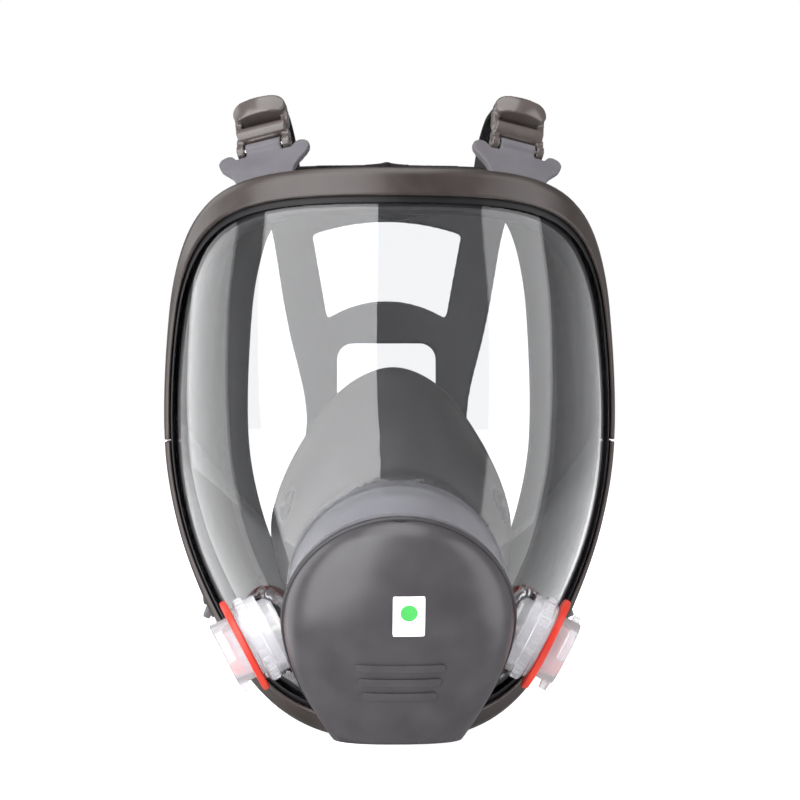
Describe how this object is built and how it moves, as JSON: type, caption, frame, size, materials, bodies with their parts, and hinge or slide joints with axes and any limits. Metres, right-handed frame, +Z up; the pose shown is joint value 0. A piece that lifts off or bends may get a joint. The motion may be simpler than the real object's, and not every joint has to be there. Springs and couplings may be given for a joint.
{
  "type": "full face respirator",
  "caption": "Full-face respirator mask with a clear wrap-round visor, two-part frame, rubber face seal, nose cup, exhalation hood, side filter ports and a buckled head harness.",
  "frame": {"origin": "centre of the face opening, level with the joints between the frame halves", "axes": "+Z up, -Y the way the wearer looks, +X the wearer's left; mirror symmetric about X = 0"},
  "size_m": [0.1914, 0.2019, 0.2623],
  "materials": {
    "clear_visor": "clear polycarbonate",
    "frame_plastic": "satin taupe-grey",
    "hood_plastic": "satin dark grey",
    "buckle_plastic": "glossy taupe-grey",
    "steel": "plain steel",
    "black_rubber": "matt",
    "dark_rubber": "satin",
    "grey_rubber": "satin",
    "tab_rubber": "matt",
    "harness_rubber": "matt",
    "valve_rubber": "translucent silicone look",
    "red_gasket": "red-orange",
    "label": "paper label"
  },
  "bodies": {
    "mask": {"visor": "clear_visor", "frame_upper": "frame_plastic", "frame_lower": "frame_plastic", "frame_screws": "steel", "frame_nuts": "steel", "adapter_body": "frame_plastic", "adapter_gasket": "black_rubber", "nose_cup": "grey_rubber", "face_seal": "dark_rubber", "tabs_upper": "tab_rubber", "tabs_lower": "tab_rubber", "buckle_pins_upper": "steel", "buckle_pins_lower": "steel", "head_harness": "harness_rubber", "straps_upper": "harness_rubber", "straps_lower": "harness_rubber", "cup_valve_seat_left": "frame_plastic", "cup_valve_seat_right": "frame_plastic", "port_gasket_left": "red_gasket", "port_gasket_right": "red_gasket", "port_connector_left": "clear_visor", "port_connector_right": "clear_visor"},
    "hood": {"exhalation_hood": "hood_plastic", "hood_label": "label"},
    "exhalation_flap": {"exhalation_valve": "valve_rubber"},
    "inhalation_flap_left": {"inhalation_valve_left": "valve_rubber"},
    "cup_flap_left": {"cup_valve_left": "valve_rubber"},
    "buckle_upper_left_turning": {"buckle_upper_left": "buckle_plastic", "slack_upper_left": "harness_rubber"},
    "buckle_lower_left_turning": {"buckle_lower_left": "buckle_plastic", "slack_lower_left": "harness_rubber"},
    "inhalation_flap_right": {"inhalation_valve_right": "valve_rubber"},
    "cup_flap_right": {"cup_valve_right": "valve_rubber"},
    "buckle_upper_right_turning": {"buckle_upper_right": "buckle_plastic", "slack_upper_right": "harness_rubber"},
    "buckle_lower_right_turning": {"buckle_lower_right": "buckle_plastic", "slack_lower_right": "harness_rubber"}
  },
  "joints": [
    {"name": "hood_off", "type": "slide", "parent": "mask", "child": "hood", "axis": [0, -0.9063, -0.4226], "range_m": [0, 0.04]},
    {"name": "exhalation_lift", "type": "slide", "parent": "mask", "child": "exhalation_flap", "axis": [0, -0.9063, -0.4226], "range_m": [0, 0.0024], "stiffness_N_per_m": 100, "springref_m": -0.0005},
    {"name": "inhalation_lift_left", "type": "slide", "parent": "mask", "child": "inhalation_flap_left", "axis": [-0.8845, 0.08, 0.4597], "range_m": [0, 0.0012], "stiffness_N_per_m": 100, "springref_m": -0.0005},
    {"name": "cup_lift_left", "type": "slide", "parent": "mask", "child": "cup_flap_left", "axis": [-0.858, 0.449, -0.2494], "range_m": [0, 0.001], "stiffness_N_per_m": 60, "springref_m": -0.0003},
    {"name": "buckle_tilt_upper_left", "type": "hinge", "parent": "mask", "child": "buckle_upper_left_turning", "pos_m": [0.053, -0.007, 0.123], "axis": [0.9544, 0.2009, -0.221], "range_deg": [0, 25]},
    {"name": "buckle_tilt_lower_left", "type": "hinge", "parent": "mask", "child": "buckle_lower_left_turning", "pos_m": [0.073, 0.024, -0.06], "axis": [0.3517, -0.2412, -0.9045], "range_deg": [0, 25]},
    {"name": "inhalation_lift_right", "type": "slide", "parent": "mask", "child": "inhalation_flap_right", "axis": [0.8845, 0.08, 0.4597], "range_m": [0, 0.0012], "stiffness_N_per_m": 100, "springref_m": -0.0005},
    {"name": "cup_lift_right", "type": "slide", "parent": "mask", "child": "cup_flap_right", "axis": [0.858, 0.449, -0.2494], "range_m": [0, 0.001], "stiffness_N_per_m": 60, "springref_m": -0.0003},
    {"name": "buckle_tilt_upper_right", "type": "hinge", "parent": "mask", "child": "buckle_upper_right_turning", "pos_m": [-0.053, -0.007, 0.123], "axis": [0.9544, -0.2009, 0.221], "range_deg": [0, 25]},
    {"name": "buckle_tilt_lower_right", "type": "hinge", "parent": "mask", "child": "buckle_lower_right_turning", "pos_m": [-0.073, 0.024, -0.06], "axis": [0.3517, 0.2412, 0.9045], "range_deg": [0, 25]}
  ]
}
